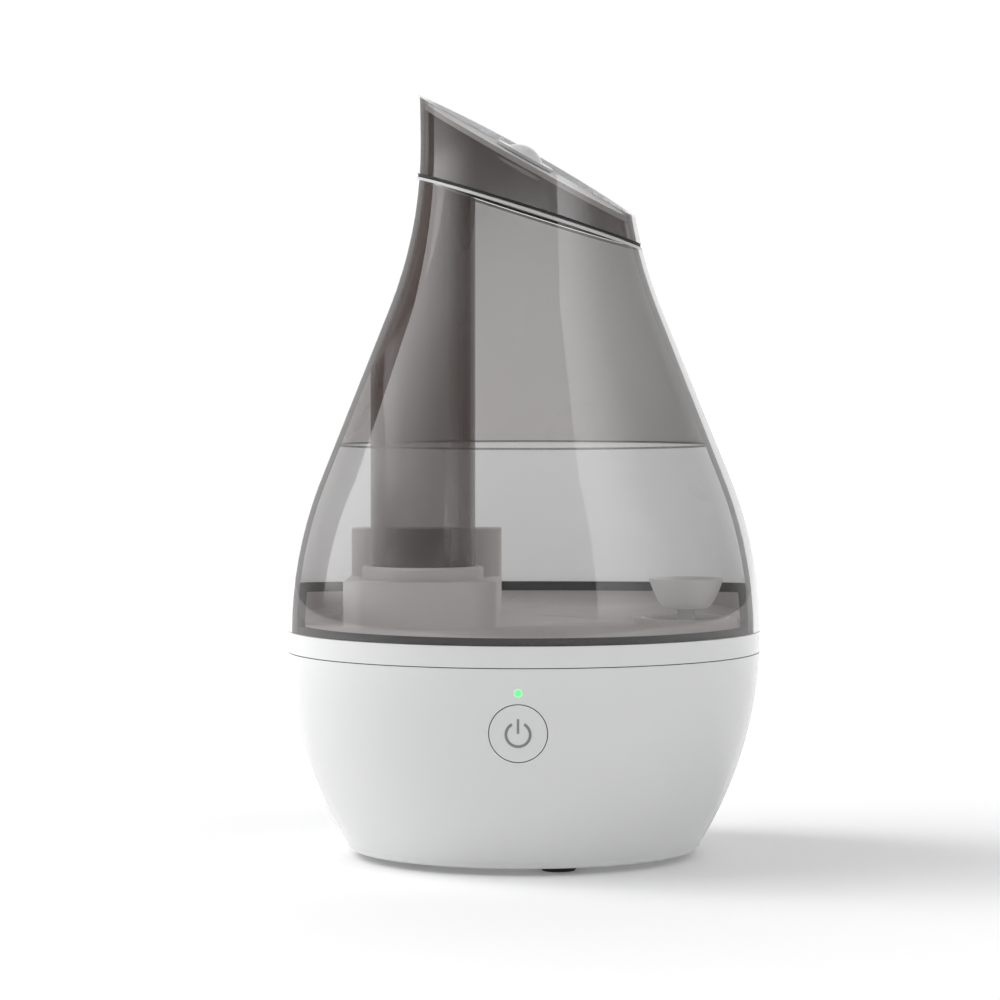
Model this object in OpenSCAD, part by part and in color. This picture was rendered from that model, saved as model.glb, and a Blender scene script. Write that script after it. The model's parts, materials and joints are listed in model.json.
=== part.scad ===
// Cool mist humidifier: a teardrop water tank that lifts off a bowl-shaped base.
// It stands on z = 0 with z up, and its front faces -Y. All sizes are in millimetres.

/* [Teardrop outline] */
// Radius at the widest part
belly_r = 105.5; // [95:0.5:127]
// Height of the widest part above the floor
belly_z = 100; // [95:0.5:105]
// Radius of the arc that the bowl follows below the widest part
bowl_arc = 180; // [150:1:260]
// Radius at the narrowest part of the neck
neck_r = 47.4; // [42:0.2:57]
// Height of the narrowest part of the neck
neck_z = 315; // [290:1:378]
// Steepness of the straight flank, as a share of the steepest that fits
flank_share = 0.734; // [0.65:0.01:0.9]
// Share of the curved length that the shoulder arc takes, the neck arc taking the rest
shoulder_share = 0.486; // [0.4:0.01:0.6]
// Radius of the slight flare above the neck
flare_arc = 660; // [400:10:1200]

/* [Walls and gaps] */
// Thickness of the bowl's wall
base_wall = 2.8; // [2:0.1:3.5]
// Thickness of the tank's wall
tank_wall = 2.4; // [1.8:0.1:3]
// Thickness of the lid's wall
lid_wall = 2.2; // [1.8:0.1:3]
// Thickness of inner panels and ribs
rib = 2.5; // [2:0.1:3]
// Gap between pieces that lift off or slide past each other
gap = 0.4; // [0.3:0.05:0.6]
// Gap between pieces that are fixed together
fit_gap = 0.05; // [0.03:0.01:0.1]

/* [Base] */
// Height of the bottom edge above the floor
foot_h = 3; // [2:0.5:5]
// Rounding of the bottom edge
edge_round = 2.5; // [1:0.5:4]
// Height of the parting line between the base and the tank
seam_z = 91; // [85:0.5:95]
// Radius of the removable bottom cover
cover_r = 70; // [66:0.5:72]
// Number of feet and of bottom screws
foot_n = 3; // [3:1:4]
// Radius of a rubber foot
foot_r = 7.8; // [6:0.2:9]
// Radius of the circle that the feet stand on
foot_ring = 59; // [55:1:60]
// Angle from the front to the first foot
foot_turn = 16; // [0:1:30]
// Radius of the water basin, inside
basin_r = 82; // [80:0.5:84]
// Height of the basin's floor, underside
basin_z = 58; // [54:0.5:62]

/* [Front panel] */
// Radius of the power button
button_r = 12.2; // [10:0.2:14]
// Height of the power button's centre
button_z = 63.2; // [60:0.2:66]
// Travel of the power button
button_travel = 1.2; // [0.8:0.1:1.5]
// Radius of the status light
led_r = 1.5; // [1:0.1:2.5]
// Height of the status light
led_z = 80.5; // [79:0.5:82]

/* [Tank] */
// Height of the white ring at the tank's foot
ring_h = 9; // [6:0.5:12]
// Half of the angle that the clear window covers
window_half = 74; // [60:1:85]
// Height of the tank floor's top at the axis
floor_z = 105.5; // [104:0.5:107]
// Rise of the tank floor per millimetre towards the back
floor_slope = 0.05; // [0.02:0.01:0.06]
// Height of the rear sill at the axis, where the back shell is sealed
sill_z = 116.2; // [114:0.2:120]
// Thickness of the seal between shell and floor
seal_w = 2.5; // [2:0.1:3]
// Height of the seal over the rear sill
seal_h = 4.4; // [3:0.1:5]
// Height of the seal under the window
front_seal_h = 3.2; // [2:0.1:5]
// Height of the parting line between tank and lid, at the axis
mouth_z = 286.2; // [270:0.2:300]
// Slope of that parting line, down towards +X
mouth_tilt = 17.6; // [10:0.2:20]
// Thickness of the rim on the tank's mouth
rim_h = 1.3; // [1:0.1:2]

/* [Mist path] */
// Distance of the mist tube from the axis, towards -X
tube_x = 44.7; // [42:0.1:46]
// Distance of the mist tube from the axis, towards the front
tube_y = 10; // [6:0.5:12]
// Radius of the mist tube
tube_r = 23.3; // [21:0.1:24]
// Wall of the mist tube
tube_wall = 2; // [1.5:0.1:2.5]
// Width of the chamber block moulded into the tank's floor
block_w = 67.5; // [64:0.5:70]
// Depth of the chamber block
block_d = 69; // [66:0.5:72]
// Height of the chamber block's top
block_z = 123; // [120:0.5:126]
// Depth of the air hump behind the block
hump_d = 28; // [26:0.5:30]
// Height of the air hump's top
hump_z = 144; // [140:0.5:150]
// Height of the collar round the tube's foot
collar_h = 6; // [4:0.5:8]
// Width of the collar's wall
collar_w = 3.6; // [3:0.1:5]

/* [Valve] */
// Place of the valve, towards +X
valve_x = 72; // [70:0.5:73]
// Place of the valve, towards the front
valve_y = 22; // [18:0.5:24]
// Radius of the valve's screw cap
cap_r = 20.6; // [18:0.2:21]
// Travel of the valve
valve_travel = 8; // [5:0.5:9]
// Radius of the valve's stem
stem_r = 3.8; // [3:0.1:4]
// Radius of the cup-shaped valve seal
cup_r = 16.5; // [14:0.5:17]

/* [Lid] */
// Height of the lid's top edge, at the axis
top_z = 312.2; // [305:0.2:330]
// Radius of the hollow that the lid's top edge follows from front to back
dish_arc = 880; // [500:20:1500]
// Depth of the lid's top plate below that edge
plate_drop = 1.6; // [1:0.1:3]
// Slope of the lid's top, down towards +X
top_side_tilt = 29.25; // [20:0.25:32]
// Slope of the lid's top, down towards the front
top_front_tilt = 4; // [0:0.5:6]
// Radius of the nozzle's dome
dome_r = 11.7; // [11:0.1:13]
// Radius of the nozzle's neck
nozzle_neck_r = 10.4; // [9.5:0.1:11]

/* [Hidden] */
$fn = 96;

white = [0.93, 0.94, 0.94];
smoke = [0.30, 0.28, 0.27];
black = [0.12, 0.12, 0.13];
steel = [0.72, 0.73, 0.75];
board_green = [0.08, 0.32, 0.20];
far = 400;
facet_h = 8;

// The outline: shoulder arc, straight flank and neck arc meet without a corner.
flank_angle = flank_share * 2 * atan((belly_r - neck_r) / (neck_z - belly_z));
arc_sum = ((neck_z - belly_z) * sin(flank_angle) - (belly_r - neck_r) * cos(flank_angle))
    / (1 - cos(flank_angle));
shoulder_arc = shoulder_share * arc_sum;
neck_arc = arc_sum - shoulder_arc;

function shoulder_top(t) = belly_z + (shoulder_arc - t) * sin(flank_angle);
function neck_foot(t) = neck_z - (neck_arc + t) * sin(flank_angle);

// Radius of the outline at height z, moved inwards by t along its normal
function r_at(z, t = 0) =
    z <= belly_z ? belly_r - bowl_arc + sqrt(pow(bowl_arc - t, 2) - pow(z - belly_z, 2))
    : z <= shoulder_top(t)
        ? belly_r - shoulder_arc + sqrt(pow(shoulder_arc - t, 2) - pow(z - belly_z, 2))
    : z <= neck_foot(t)
        ? belly_r - shoulder_arc + (shoulder_arc - t) * cos(flank_angle)
            - (z - shoulder_top(t)) * tan(flank_angle)
    : z <= neck_z ? neck_r + neck_arc - sqrt(pow(neck_arc + t, 2) - pow(z - neck_z, 2))
    : neck_r + flare_arc - sqrt(pow(flare_arc + t, 2) - pow(z - neck_z, 2));

function outline(z0, z1, t) = let (n = ceil((z1 - z0) / facet_h))
    [for (i = [0 : n]) let (z = z0 + (z1 - z0) * i / n) [r_at(z, t), z]];
function reversed(list) = [for (i = [len(list) - 1 : -1 : 0]) list[i]];

// Heights and places that follow from the sizes above
ring_z = seam_z + ring_h;
plate_z = top_z - plate_drop;
tip_z = top_z + belly_r * tan(top_side_tilt);
cover_top = foot_h + gap + rib;
flange_z = seam_z - 2.5;
tube_place = [-tube_x, -tube_y, 0];
valve_place = [valve_x, -valve_y, 0];
seal_inset = tank_wall + fit_gap;
floor_inset = seal_inset + seal_w + fit_gap;
sill_slope = floor_slope;
block_front = -tube_y - block_d / 2;
block_back = block_front + block_d;
hump_back = block_back + hump_d / 2;
hump_front = hump_back - hump_d;
fan_place = [-29, 19, 0];
fan_size = 40;
fan_h = 10;
fan_top = cover_top + fan_h;
duct_w = 30;
duct_d = 14;
duct_place = [-tube_x, hump_back - rib - 1.5 - duct_d, 0];
board_z = cover_top + 10;
board_t = 1.6;
board_size = [50, 52];
board_place = [24, 14, 0];
jack_x = 20;
jack_z = 22.7;
jack_r = 5.4;
jack_face = sqrt(pow(r_at(jack_z), 2) - jack_x * jack_x) - 0.5;
panel_y = r_at(button_z) - 11.7;
float_place = [18, 58, 0];
float_travel = 6;
cup_base = 111;
cup_top = 124;
seat_top = cup_base - valve_travel - 0.1;
stem_foot = 84;

module half_space_below(z, side_tilt, front_tilt = 0) {
    translate([0, 0, z]) rotate([front_tilt, side_tilt, 0])
        translate([-far, -far, -2 * far]) cube([2 * far, 2 * far, 2 * far]);
}

module half_space_above(z, side_tilt, front_tilt = 0) {
    translate([0, 0, z]) rotate([front_tilt, side_tilt, 0])
        translate([-far, -far, 0]) cube([2 * far, 2 * far, 2 * far]);
}

// Solid of the outline between two heights, inset by t
module filled(z0, z1, t) {
    rotate_extrude() polygon(concat([[0, z0]], outline(z0, z1, t), [[0, z1]]));
}

// Wall between two insets of the outline, over the angle from start
module wall_band(z0, z1, t_out, t_in, start = 0, sweep = 360) {
    rotate([0, 0, start]) rotate_extrude(angle = sweep)
        polygon(concat(outline(z0, z1, t_out), reversed(outline(z0, z1, t_in))));
}

window_start = -90 - window_half;
window_sweep = 2 * window_half;
back_start = -90 + window_half;
back_sweep = 360 - window_sweep;

module at_feet(turn, ring) {
    for (i = [0 : foot_n - 1])
        rotate([0, 0, turn + i * 360 / foot_n]) translate([0, -ring, 0]) children();
}

module tube(r_out, r_in, h) {
    difference() {
        cylinder(r = r_out, h = h);
        translate([0, 0, -1]) cylinder(r = r_in, h = h + 2);
    }
}

// Upright box with rounded corners, centred on x, from y0 to y1
module rounded_block(w, y0, y1, h, r) {
    linear_extrude(h) union() {
        translate([-w / 2 + r, y0]) square([w - 2 * r, y1 - y0]);
        translate([-w / 2, y0 + r]) square([w, y1 - y0 - 2 * r]);
        for (x = [-w / 2 + r, w / 2 - r], y = [y0 + r, y1 - r]) translate([x, y]) circle(r);
    }
}

function unit(v) = v / norm(v);

// Point on a smooth curve through four points, from b at s = 0 to c at s = 1
function spline(a, b, c, d, s) =
    0.5 * (2 * b + s * (c - a) + s * s * (2 * a - 5 * b + 4 * c - d) + s * s * s * (3 * b - a - 3 * c + d));

function smoothed(p, n) = [for (i = [0 : len(p) - 2], k = [0 : n - 1])
    spline(p[max(i - 1, 0)], p[i], p[i + 1], p[min(i + 2, len(p) - 1)], k / n), p[len(p) - 1]];

// Round tube along a path, which never runs straight along the side vector
module swept_tube(path, r, sides, side = [1, 0, 0]) {
    last = len(path) - 1;
    rings = [for (i = [0 : last]) let (
        along = unit(path[min(i + 1, last)] - path[max(i - 1, 0)]),
        u = unit(cross(along, side)),
        v = cross(along, u))
        for (j = [0 : sides - 1]) path[i] + r * (cos(360 * j / sides) * u + sin(360 * j / sides) * v)];
    walls = [for (i = [0 : last - 1], j = [0 : sides - 1])
        let (a = i * sides + j, b = i * sides + (j + 1) % sides) [a, b, b + sides, a + sides]];
    polyhedron(rings, concat(walls, [[for (j = [sides - 1 : -1 : 0]) j]],
        [[for (j = [0 : sides - 1]) last * sides + j]]));
}

module lead(route, r) {
    swept_tube(smoothed(route, 4), r, 8);
}

module screw(length, r = 1.3, head_r = 2.7, head_h = 1.6) {
    difference() {
        union() {
            cylinder(r = r, h = length);
            translate([0, 0, -head_h]) cylinder(r = head_r, h = head_h);
        }
        for (a = [0, 90]) rotate([0, 0, a]) translate([-head_r * 0.6, -0.3, -head_h - 1])
            cube([head_r * 1.2, 0.6, 1.8]);
    }
}

/* Base */

screw_ring = cover_r - 8;
post_r = 4;

module base_body() {
    ledge_z = flange_z - rib - 2;
    edge = foot_h + edge_round;
    color(white) difference() {
        union() {
            rotate_extrude() polygon(concat(
                [for (a = [-90 : 22.5 : -1]) [r_at(edge) - edge_round + edge_round * cos(a),
                    edge + edge_round * sin(a)]],
                outline(edge, seam_z - gap, 0),
                reversed(outline(foot_h, seam_z - gap, base_wall))));
            rotate_extrude() polygon([
                [cover_r + gap, foot_h], [r_at(foot_h, base_wall) + 1, foot_h],
                [r_at(cover_top, base_wall) + 1, cover_top + rib], [cover_r - 6, cover_top + rib],
                [cover_r - 6, cover_top], [cover_r + gap, cover_top]]);
            rotate_extrude() polygon([
                [r_at(ledge_z, base_wall) + 1, ledge_z - 3], [r_at(ledge_z, base_wall) + 1, ledge_z + 2],
                [r_at(ledge_z, base_wall) - 4, ledge_z + 2], [r_at(ledge_z, base_wall) - 4, ledge_z]]);
            at_feet(foot_turn + 180 / foot_n, screw_ring) translate([0, 0, cover_top])
                cylinder(r = post_r, h = 14);
        }
        at_feet(foot_turn + 180 / foot_n, screw_ring) translate([0, 0, cover_top - 1])
            cylinder(r = 1.3, h = 13);
        translate([0, 0, button_z]) rotate([90, 0, 0]) cylinder(r = button_r + gap, h = far);
        translate([0, 0, led_z]) rotate([90, 0, 0]) cylinder(r = led_r + fit_gap, h = far);
        translate([jack_x, 0, jack_z]) rotate([-90, 0, 0]) cylinder(r = jack_r + fit_gap, h = far);
    }
}

tower_r = tube_r + 3.7;
collar_r = tube_r + fit_gap + collar_w;

module basin() {
    color(white) difference() {
        union() {
            rotate_extrude() polygon([
                [0, basin_z], [basin_r + rib, basin_z], [basin_r + rib, flange_z - rib],
                [r_at(flange_z - rib, base_wall + gap), flange_z - rib],
                [r_at(flange_z - rib, base_wall + gap), flange_z], [basin_r, flange_z],
                [basin_r, basin_z + rib], [0, basin_z + rib]]);
            translate(tube_place) translate([0, 0, basin_z]) cylinder(r = tower_r, h = 110 - basin_z);
            translate(duct_place) translate([0, 0, basin_z])
                rounded_block(duct_w, 0, duct_d, hump_z - 10 - basin_z, 3);
            translate(valve_place) translate([0, 0, basin_z])
                cylinder(r = 3, h = stem_foot - gap - basin_z);
            translate(float_place) translate([0, 0, basin_z]) cylinder(r = 2.2, h = 24);
            for (a = [0, 180]) translate(tube_place) rotate([0, 0, a]) translate([15, 0, basin_z - 3.5])
                cylinder(r = 3.2, h = 4);
        }
        translate(tube_place) {
            translate([0, 0, basin_z + rib]) cylinder(r = tower_r - rib, h = 60);
            translate([0, 0, basin_z - 1]) cylinder(r = 9, h = 6);
            for (a = [0, 180]) rotate([0, 0, a]) translate([15, 0, basin_z - 4]) cylinder(r = 1.1, h = 5);
            for (a = [-60, 0, 60]) rotate([0, 0, a]) translate([tower_r - 5, -4, basin_z + rib])
                cube([8, 8, 6]);
            translate([-6, tower_r - 5, 92]) cube([12, 8, 12]);
        }
        translate(duct_place) translate([0, 0, basin_z - 1])
            rounded_block(duct_w - 4, 2, duct_d - 2, hump_z, 1.2);
    }
}

module bottom_cover() {
    color(white) difference() {
        union() {
            translate([0, 0, foot_h + gap]) cylinder(r = cover_r, h = rib);
            for (x = [-1, 1], y = [-1, 1]) translate(board_place)
                translate([x * (board_size[0] / 2 - 4), y * (board_size[1] / 2 - 4), foot_h + gap])
                    cylinder(r = 2.8, h = board_z - foot_h - gap);
        }
        for (x = [-1, 1], y = [-1, 1]) translate(board_place)
            translate([x * (board_size[0] / 2 - 4), y * (board_size[1] / 2 - 4), cover_top])
                cylinder(r = 1.1, h = far);
        at_feet(foot_turn, foot_ring) cylinder(r = 3, h = 20);
        at_feet(foot_turn + 180 / foot_n, screw_ring) {
            cylinder(r = 1.5, h = 20);
            cylinder(r = 3, h = foot_h + gap + 1.7);
        }
        for (i = [-3 : 3]) translate(fan_place) translate([i * 5 - 1.5, -15, 0]) cube([3, 30, 20]);
        for (x = [-1, 1], y = [-1, 1]) translate(fan_place)
            translate([x * (fan_size / 2 - 4), y * (fan_size / 2 - 4), 0]) cylinder(r = 1.1, h = 20);
    }
}

module rubber_feet() {
    color(black) at_feet(foot_turn, foot_ring) {
        cylinder(r1 = foot_r - 0.8, r2 = foot_r, h = 1);
        translate([0, 0, 1]) cylinder(r = foot_r, h = foot_h + gap - 1);
        cylinder(r = 3 - fit_gap, h = cover_top);
        translate([0, 0, cover_top]) cylinder(r1 = 4, r2 = 2.4, h = 1.6);
    }
}

module bottom_screws() {
    color(steel) at_feet(foot_turn + 180 / foot_n, screw_ring)
        translate([0, 0, foot_h + gap + 1.7]) screw(10, r = 1.25);
}

module dc_jack() {
    color(black) translate([jack_x, 0, jack_z]) rotate([-90, 0, 0]) {
        difference() {
            union() {
                translate([0, 0, jack_face - 14]) cylinder(r = jack_r, h = 14);
                intersection() {
                    translate([0, 0, jack_face - 10]) cylinder(r = jack_r + 2.4, h = 10);
                    rotate([90, 0, 0]) translate([-jack_x, 0, -jack_z])
                        filled(foot_h, seam_z - 20, base_wall + fit_gap);
                }
            }
            translate([0, 0, jack_face - 9.5]) cylinder(r = 2.75, h = 12);
        }
        translate([0, 0, jack_face - 10]) cylinder(r = 1.05, h = 9);
    }
}

module driver_board() {
    color(board_green) translate(board_place) translate([0, 0, board_z]) difference() {
        union() {
            translate([-board_size[0] / 2, -board_size[1] / 2, 0])
                cube([board_size[0], board_size[1], board_t]);
            translate([-16, 8, board_t]) cube([12, 12, 9]);
            translate([2, 12, board_t]) cylinder(r = 5, h = 13);
            translate([14, 14, board_t]) cylinder(r = 4, h = 11);
            translate([-18, -20, board_t]) cube([8, 5, 6]);
            translate([-7, -22, board_t]) cube([10, 8, 2]);
            translate([7, -22, board_t]) cube([11, 5, 6]);
        }
        for (x = [-1, 1], y = [-1, 1])
            translate([x * (board_size[0] / 2 - 4), y * (board_size[1] / 2 - 4), -1])
                cylinder(r = 1.6, h = 4);
    }
}

module board_screws() {
    color(steel) for (x = [-1, 1], y = [-1, 1]) translate(board_place)
        translate([x * (board_size[0] / 2 - 4), y * (board_size[1] / 2 - 4), board_z + board_t])
            rotate([180, 0, 0]) screw(7, r = 1.05, head_r = 2.2, head_h = 1.3);
}

module heat_sink() {
    color(steel) translate(board_place) translate([4, -11, board_z + board_t]) {
        cube([16, 2, 14]);
        for (i = [0 : 3]) translate([i * 4.6, 2, 0]) cube([1.4, 6, 14]);
    }
}

module fan_frame() {
    color(black) translate(fan_place) translate([0, 0, cover_top]) difference() {
        rounded_block(fan_size, -fan_size / 2, fan_size / 2, fan_h, 3);
        translate([0, 0, 1.5]) cylinder(r = fan_size / 2 - 1, h = fan_h);
        difference() {
            translate([0, 0, -1]) cylinder(r = fan_size / 2 - 1, h = 4);
            translate([0, 0, -2]) cylinder(r = 9, h = 6);
            for (a = [0 : 120 : 240]) rotate([0, 0, a]) translate([0, -1.5, -2]) cube([30, 3, 6]);
        }
        translate([0, 0, -1]) cylinder(r = 1.5, h = 4);
        for (x = [-1, 1], y = [-1, 1])
            translate([x * (fan_size / 2 - 4), y * (fan_size / 2 - 4), -1]) cylinder(r = 1.4, h = 20);
    }
}

module fan_rotor() {
    color(black) translate(fan_place) translate([0, 0, cover_top]) {
        translate([0, 0, 2.2]) cylinder(r = 9, h = fan_h - 3);
        translate([0, 0, 0.3]) cylinder(r = 1.44, h = 3);
        for (i = [0 : 6]) rotate([0, 0, i * 360 / 7]) translate([8, 0, 2.2 + (fan_h - 3) / 2])
            rotate([38, 0, 0]) translate([0, -0.5, -(fan_h - 4) / 2]) cube([9.6, 1, fan_h - 4]);
    }
}

module fan_screws() {
    color(steel) for (x = [-1, 1], y = [-1, 1]) translate(fan_place)
        translate([x * (fan_size / 2 - 4), y * (fan_size / 2 - 4), fan_top + rib])
            rotate([180, 0, 0]) screw(fan_h + 4, r = 1.05, head_r = 2.2, head_h = 1.3);
}

// Plenum over the fan, with a riser to the basin's air shaft
module air_duct() {
    x0 = -tube_x - duct_w / 2;
    x1 = fan_place[0] + fan_size / 2;
    y0 = fan_place[1] - fan_size / 2;
    y1 = fan_place[1] + fan_size / 2;
    top = fan_top + 9;
    color(white) difference() {
        union() {
            translate([x0, y0, fan_top]) cube([x1 - x0, y1 - y0, 9]);
            translate(duct_place) translate([0, 0, fan_top])
                rounded_block(duct_w, 0, duct_d, basin_z - fan_top, 3);
        }
        translate([x0 + 2, y0 + 2, fan_top + rib]) cube([x1 - x0 - 4, y1 - y0 - 4, 9 - 2 - rib]);
        translate(fan_place) translate([0, 0, fan_top - 1]) cylinder(r = fan_size / 2 - 1, h = 5);
        translate(duct_place) translate([0, 0, top - 3])
            rounded_block(duct_w - 4, 2, duct_d - 2, basin_z, 1.2);
        for (x = [-1, 1], y = [-1, 1]) translate(fan_place)
            translate([x * (fan_size / 2 - 4), y * (fan_size / 2 - 4), fan_top - 1]) {
                cylinder(r = 1.4, h = 20);
                translate([0, 0, 1 + rib]) cylinder(r = 3, h = 20);
            }
    }
}

module transducer_disc() {
    color([0.85, 0.75, 0.45]) translate(tube_place) translate([0, 0, basin_z - 2.4]) cylinder(r = 10, h = 1.2);
}

module transducer_seal() {
    color([0.75, 0.76, 0.78]) translate(tube_place) translate([0, 0, basin_z - 3.5]) difference() {
        cylinder(r = 11.6, h = 3.5);
        translate([0, 0, -1]) cylinder(r = 8.5, h = 6);
        translate([0, 0, 1.1]) cylinder(r = 10, h = 1.2);
    }
}

module transducer_holder() {
    color(steel) translate(tube_place) translate([0, 0, basin_z - 7.5]) difference() {
        rounded_block(42, -14, 14, 4, 4);
        translate([0, 0, -1]) cylinder(r = 8, h = 6);
        for (a = [0, 180]) rotate([0, 0, a]) translate([15, 0, -1]) cylinder(r = 1.4, h = 6);
    }
}

module transducer_screws() {
    color(steel) for (a = [0, 180]) translate(tube_place) rotate([0, 0, a])
        translate([15, 0, basin_z - 7.5]) screw(7, r = 1.05, head_r = 2.3, head_h = 1.4);
}

module control_board() {
    color(board_green) translate([-25, -panel_y, button_z - 13]) difference() {
        cube([50, board_t, led_z + 3 - button_z + 13]);
        for (x = [3, 47]) translate([x, -1, 3]) rotate([-90, 0, 0]) cylinder(r = 1.4, h = 4);
    }
}

module tact_switch() {
    color(black) translate([0, -panel_y, button_z]) rotate([90, 0, 0]) {
        translate([-3, -3, 0]) cube([6, 6, 3.4]);
        translate([0, 0, 3.4]) cylinder(r = 1.7, h = 0.6);
    }
}

module status_led() {
    color([0.2, 0.8, 0.2]) translate([0, -panel_y, led_z]) rotate([90, 0, 0]) {
        translate([-1.6, -0.8, 0]) cube([3.2, 1.6, 0.6]);
        translate([-1, -0.7, 0.6]) cube([2, 1.4, 0.5]);
    }
}

module light_pipe() {
    face = r_at(led_z) + 0.2;
    color([0.5, 0.95, 0.5]) translate([0, 0, led_z]) rotate([90, 0, 0]) {
        translate([0, 0, panel_y + 1.3]) cylinder(r = led_r, h = face - panel_y - 1.3);
        translate([0, 0, panel_y + 1.3]) cylinder(r = led_r + 1, h = 2);
    }
}

module button_guide() {
    color(white) difference() {
        intersection() {
            translate([0, 0, button_z]) rotate([90, 0, 0]) {
                translate([0, 0, panel_y + 1]) cylinder(r = button_r + gap + 2, h = 20);
                for (x = [-20, 20]) translate([x, 0, panel_y]) cylinder(r = 2.4, h = 4);
                translate([-21, -2.4, panel_y + 2]) cube([42, 4.8, 2]);
            }
            filled(button_z - 20, button_z + 20, base_wall + fit_gap);
        }
        translate([0, 0, button_z]) rotate([90, 0, 0]) cylinder(r = button_r + gap, h = far);
        translate([0, 0, led_z]) rotate([90, 0, 0]) cylinder(r = led_r + 1 + gap, h = far);
    }
}

module power_button() {
    stem_back = panel_y + 4 + button_travel + 0.2;
    color(white) {
        intersection() {
            translate([0, 0, button_z]) rotate([90, 0, 0]) cylinder(r = button_r, h = far);
            wall_band(button_z - 20, button_z + 20, 0, 3.4, start = -120, sweep = 60);
        }
        intersection() {
            translate([0, 0, button_z]) rotate([90, 0, 0]) {
                translate([0, 0, panel_y + 5]) tube(button_r, button_r - 1.6, 20);
                translate([0, 0, stem_back]) cylinder(r = 2, h = 20);
            }
            filled(button_z - 20, button_z + 20, 1);
        }
    }
}

module level_float() {
    color([0.9, 0.9, 0.88]) translate(float_place) translate([0, 0, basin_z + rib + 0.3]) difference() {
        cylinder(r = 11, h = 10);
        translate([0, 0, -1]) cylinder(r = 2.6, h = 12);
        translate([0, 0, -1]) tube(7, 4.4, 6.2);
    }
}

module float_magnet() {
    color(steel) translate(float_place) translate([0, 0, basin_z + rib + 3.35]) tube(6.9, 4.5, 2);
}

module float_clip() {
    color(white) translate(float_place)
        translate([0, 0, basin_z + rib + 0.3 + 10 + float_travel + 0.5]) tube(4.6, 2.25, 1.6);
}

module level_sensor() {
    color(black) translate(float_place) translate([-7, -3, basin_z - 3]) cube([14, 6, 3]);
}

jack_lead_route = [[jack_x, jack_face - 14.05, jack_z], [jack_x, 60, jack_z], [19, 50, 24],
    [15, 42, 23], [14, 38, 22], [14, 34.1, 22]];
panel_lead_route = [[10, -6.1, 20.5], [10, -10, 20.8], [8, -20, 27], [6, -40, 40], [4, -74, 53],
    [4, -82, 54], [4, board_t - panel_y + 0.1, 54]];
transducer_lead_route = [[5.9, -4.6, 21.5], [2, -4.8, 21.8], [-6, -9, 26], [-24, -14, 36],
    [-40, -12, 44], [-tube_x, -tube_y, 55]];
fan_lead_route = [[-8.75, 22, 12], [-6.4, 22, 12.1], [-4.8, 8, 16.5], [-2.4, -1, 19.2],
    [1, -2, 19.4], [5.9, -2, 19.2]];

module jack_lead() { color(black) lead(jack_lead_route, 1.4); }
module panel_lead() { color([0.85, 0.85, 0.85]) lead(panel_lead_route, 1.1); }
module transducer_lead() { color([0.8, 0.1, 0.1]) lead(transducer_lead_route, 1.1); }
module fan_lead() { color(black) lead(fan_lead_route, 0.9); }

/* Tank */

module floor_plane_below(lift = 0) {
    half_space_below(floor_z + lift, 0, atan(floor_slope));
}

module tank_floor() {
    wall_top = sill_z + 10;
    web_z = ring_z - 3;
    skirt_r = r_at(seam_z) - 15.3;
    cap_seat_r = cap_r + 3.2;
    color(white) difference() {
        union() {
            // Ring at the tank's foot, with a skirt that drops into the base
            rotate_extrude() polygon(concat(
                outline(seam_z, ring_z, 0),
                [[r_at(ring_z, floor_inset + rib), ring_z], [r_at(ring_z, floor_inset + rib), web_z],
                 [skirt_r - 2, web_z], [skirt_r - 2, flange_z + 0.8], [skirt_r, flange_z + 0.8],
                 [skirt_r, web_z - rib], [r_at(seam_z, 4), web_z - rib], [r_at(seam_z, 4), seam_z]]));
            // Inner wall, up to the floor's own plane
            intersection() {
                wall_band(web_z, wall_top, floor_inset, floor_inset + rib);
                floor_plane_below();
            }
            // Rear sill that carries the seal of the back shell
            intersection() {
                wall_band(ring_z, wall_top, seal_inset, floor_inset + 0.6, back_start + 0.5, back_sweep - 1);
                half_space_below(sill_z, 0, -atan(sill_slope));
            }
            // Sloping floor
            intersection() {
                translate([0, 0, ring_z - 4]) cylinder(r = r_at(ring_z, floor_inset + rib / 2), h = 30);
                floor_plane_below();
                half_space_above(floor_z - rib, 0, atan(floor_slope));
            }
            translate([-tube_x, 0, ring_z]) {
                rounded_block(block_w, block_front, block_back, block_z - ring_z, 10);
                rounded_block(block_w, hump_front, hump_back, hump_z - ring_z, 8);
            }
            translate(valve_place) translate([0, 0, seam_z + 6.5])
                cylinder(r = cap_seat_r, h = floor_z + 1.6 - seam_z - 6.5);
        }
        translate([-tube_x, 0, seam_z]) {
            rounded_block(block_w - 2 * rib, block_front + rib, block_back - rib, block_z - rib - seam_z, 7.5);
            rounded_block(block_w - 2 * rib, duct_place[1] - 1, hump_back - rib, hump_z - rib - seam_z, 5.5);
        }
        translate(tube_place) translate([0, 0, block_z]) cylinder(r = collar_r + fit_gap, h = hump_z);
        translate(tube_place) translate([0, 0, block_z - rib - 1])
            cylinder(r = tube_r - tube_wall, h = rib + 2);
        translate(valve_place) translate([0, 0, seam_z]) {
            cylinder(r = cap_r + fit_gap, h = 40);
            cylinder(r = cap_r + 1.8 + gap, h = 6.5 + fit_gap);
        }
    }
}

module tank_window() {
    color(smoke, 0.6) intersection() {
        wall_band(ring_z + gap, tip_z, 0, tank_wall, window_start + 0.1, window_sweep - 0.2);
        half_space_below(mouth_z - rim_h / 2, mouth_tilt);
    }
}

module tank_back() {
    color(white) intersection() {
        wall_band(ring_z + gap, tip_z, 0, tank_wall, back_start, back_sweep);
        half_space_below(mouth_z - rim_h / 2, mouth_tilt);
    }
}

module tank_rim() {
    color(white) intersection() {
        wall_band(ring_z, tip_z, 0, tank_wall + 1.2);
        half_space_above(mouth_z - rim_h / 2, mouth_tilt);
        half_space_below(mouth_z + rim_h / 2, mouth_tilt);
    }
}

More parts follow.
